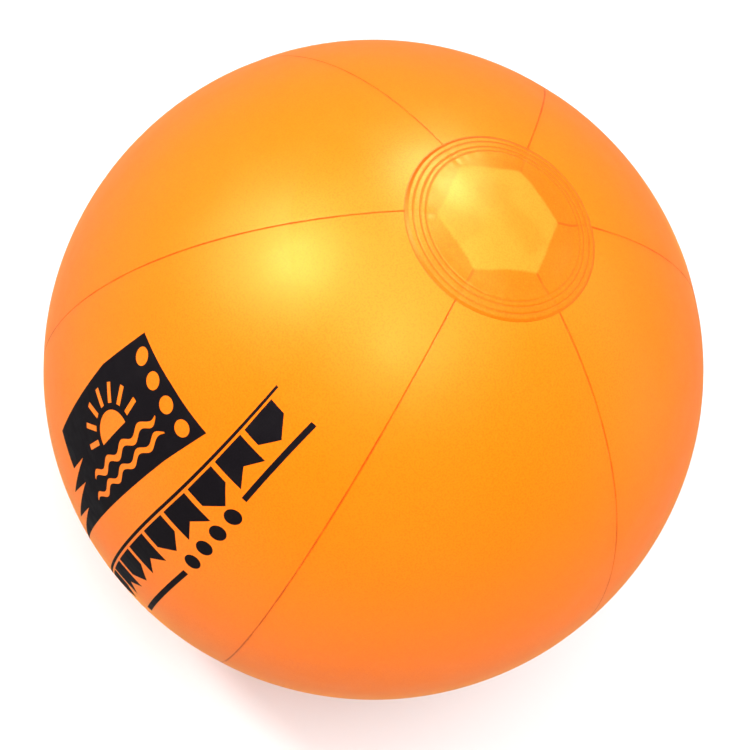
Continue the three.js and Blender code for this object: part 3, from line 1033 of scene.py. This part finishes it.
def disc_material(name, axis):
    """The end discs: paler where they close the opening, deeper where they lie on the panels, and
    less deep there on the side towards the lights as a painted highlight.
    """
    material, tree, shader, place = new_film(name, DISC_GLOSS)
    degrees = degrees_from(tree, place, axis)
    seam, hexagon = disc_seam_planes(tree, place, degrees)
    opening = RADIUS * math.tan(OPENING_POLAR)
    wander = maths(tree, "SUBTRACT", noise(tree, place, 90, 2), 0.5)
    edge = maths(tree, "ADD", hexagon, maths(tree, "MULTIPLY", wander, OPENING_WANDER))
    overlap = soft_step(tree, edge, opening - OPENING_BLUR, opening + OPENING_BLUR)
    # The overlap's deeper colour fades on the side towards the lights: a painted highlight washing
    # out the opening's edge.
    depth = lit_side_share(tree, place, 5 * MM, 22 * MM, 1, 0.55)
    colour = mixed(tree, maths(tree, "MULTIPLY", overlap, depth), FILM_PALE, FILM_DEEP)
    colour = disc_lines(tree, place, degrees, colour)
    # Seams seen through the disc as darker lines with painted shade in their creases, stronger on
    # the side away from the lights.
    crease = soft_step(tree, seam, *CREASE_LINE, 1, 0)
    inner_band = soft_step(tree, degrees, 11.0, 11.4, 1, 0.3)
    crease = maths(tree, "MULTIPLY", maths(tree, "MULTIPLY", crease, overlap), inner_band)
    crease = maths(tree, "MULTIPLY", crease, lit_side_share(tree, place, -12 * MM, 12 * MM, 1, 0.3))
    colour = mixed(tree, crease, colour, WELD_AND_SHADE_ORANGE)
    patches = soft_step(tree, noise(tree, place, 70, 1), 0.45, 0.65, 0, 0.3)
    colour = mixed(tree, patches, colour, FILM_DEEP)
    slack = bump(tree, noise(tree, place, 80, 1), 0.5 * MM, 0.5)
    film_finish(tree, shader, place, colour, slack)
    return material


def valve_material():
    """Milky soft PVC: a little cloudy, with some light scattered inside it."""
    material, tree, shader, place = new_material(
        "valve_pvc", IOR=1.5, Subsurface_Weight=0.25, Subsurface_Scale=2 * MM
    )
    shader.inputs["Subsurface Radius"].default_value = (1.0, 0.7, 0.45)
    cloud = noise(tree, place, 320, 3)
    colour = mixed(tree, soft_step(tree, cloud, 0.3, 0.7), PVC_CLOUDY, PVC_CLEAR)
    tree.links.new(colour, shader.inputs["Base Color"])
    grain = noise(tree, place, 2600, 2)
    tree.links.new(soft_step(tree, grain, 0.3, 0.7, 0.30, 0.42), shader.inputs["Roughness"])
    tree.links.new(bump(tree, grain, 0.02 * MM, 0.6), shader.inputs["Normal"])
    return material


def ink_material():
    """Screen-printed ink: nearly black and semi-matt, with fine grain and thin patches."""
    material, tree, shader, place = new_material("screen_print_ink", IOR=1.2)
    cover = noise(tree, place, 2200, 2)
    patch = noise(tree, place, 120, 2)
    colour = mixed(tree, soft_step(tree, cover, 0.35, 0.7), INK_DENSE, INK_THIN)
    colour = mixed(tree, soft_step(tree, patch, 0.5, 0.8, 0, 0.3), colour, INK_WORN)
    tree.links.new(colour, shader.inputs["Base Color"])
    tree.links.new(soft_step(tree, patch, 0.3, 0.7, 0.5, 0.62), shader.inputs["Roughness"])
    tree.links.new(bump(tree, cover, 0.02 * MM, 0.5), shader.inputs["Normal"])
    return material


# ---- Stage, lights and camera ----

FLOOR_HALF = 3.0  # metres from the middle to a side
WORLD_STRENGTH = 0.34
WORLD_COLOUR = (1.0, 1.0, 1.0, 1)
CAMERA_PLACE = Vector((0.5065, -1.4415, 2.8815)) * RADIUS
CAMERA_ROLL = math.radians(38.705)
CAMERA_LENS = 49.2  # mm, on a sensor 36 mm wide
CAMERA_SHIFT = 0.0021, -0.0071  # shares of the picture's width


def add_floor():
    mesh = bpy.data.meshes.new("floor")
    corners = [(-FLOOR_HALF, -FLOOR_HALF), (FLOOR_HALF, -FLOOR_HALF)]
    corners += [(FLOOR_HALF, FLOOR_HALF), (-FLOOR_HALF, FLOOR_HALF)]
    mesh.from_pydata([(x, y, FLOOR_Z) for x, y in corners], [], [(0, 1, 2, 3)])
    material, tree, shader, place = new_material("pale_floor", Roughness=0.9)
    tone = mixed(tree, noise(tree, place, 3, 2), *FLOOR_TONES)
    tree.links.new(tone, shader.inputs["Base Color"])
    mesh.materials.append(material)
    floor = bpy.data.objects.new("floor", mesh)
    bpy.context.scene.collection.objects.link(floor)
    floor.visible_glossy = False  # the film's rim would turn white with it


def add_soft_light(name, direction, distance, size, watts, lights="both"):
    """A round soft box that faces the ball, in a direction and at a distance from its centre.

    It lights only the diffuse colour ("body"), only the gloss ("gloss"), or both ("both").
    """
    data = bpy.data.lights.new(name, "AREA")
    data.shape = "DISK"
    data.size = size
    data.energy = watts
    light = bpy.data.objects.new(name, data)
    bpy.context.scene.collection.objects.link(light)
    place = Vector(direction).normalized() * distance
    light.location = place
    light.rotation_euler = (-place).to_track_quat("-Z", "Y").to_euler()
    light.visible_camera = False
    light.visible_glossy = lights != "body"
    light.visible_diffuse = lights != "gloss"


def add_lights():
    add_soft_light("key", (-0.501, -0.381, 0.777), 1.34, 0.20, 9.4)
    add_soft_light("back_key", (-0.481, 0.375, 0.792), 1.32, 0.22, 10.4, "gloss")
    add_soft_light("top_fill", (0.118, -0.278, 0.953), 1.35, 0.16, 3.0, "gloss")
    add_soft_light("overhead", (0, -0.1, 1), 2.2, 2.0, 61, "body")
    add_soft_light("low_fill", (0.80, -0.50, 0.35), 2.2, 1.6, 7.5, "body")
    add_soft_light("side_fill", (0.65, 0.72, 0.26), 2.2, 1.2, 7.5, "body")
    add_soft_light("canopy", (0, -0.1, 1), 2.2, 2.0, 31, "gloss")
    add_soft_light("side_glow", (-0.63, -0.41, 0.66), 2.2, 1.6, 36, "gloss")
    add_soft_light("right_glow", (0.28, 0.72, 0.63), 2.2, 1.0, 3.6, "gloss")
    world = bpy.data.worlds.new("studio")
    world.use_nodes = True
    background = world.node_tree.nodes["Background"]
    background.inputs["Color"].default_value = WORLD_COLOUR
    background.inputs["Strength"].default_value = WORLD_STRENGTH
    bpy.context.scene.world = world


def add_camera():
    data = bpy.data.cameras.new("camera")
    data.lens = CAMERA_LENS
    data.sensor_width = 36
    data.shift_x, data.shift_y = CAMERA_SHIFT
    camera = bpy.data.objects.new("camera", data)
    camera.location = CAMERA_PLACE
    aim = (-CAMERA_PLACE).to_track_quat("-Z", "Y")
    camera.rotation_euler = (aim @ Quaternion((0, 0, 1), CAMERA_ROLL)).to_euler()
    bpy.context.scene.collection.objects.link(camera)
    bpy.context.scene.camera = camera


def build():
    film = film_material("film_orange")
    for number in range(len(PANELS)):
        film_panel(number, film)
    top_film = disc_material("film_disc_top", TOP_AXIS)
    end_disc("film_disc_top", "end_disc_top", TOP_AXIS, TOP_BULGE, top_film)
    bottom_film = disc_material("film_disc_bottom", BOTTOM_AXIS)
    end_disc("film_disc_bottom", "end_disc_bottom", BOTTOM_AXIS, 0, bottom_film)
    pvc = valve_material()
    for make in (valve_flange, valve_boot, valve_stem, valve_plug, plug_strap, check_flap):
        make(pvc)
    front_print(ink_material())


add_camera()
add_lights()
add_floor()
build()
bpy.context.scene.view_settings.view_transform = "Standard"
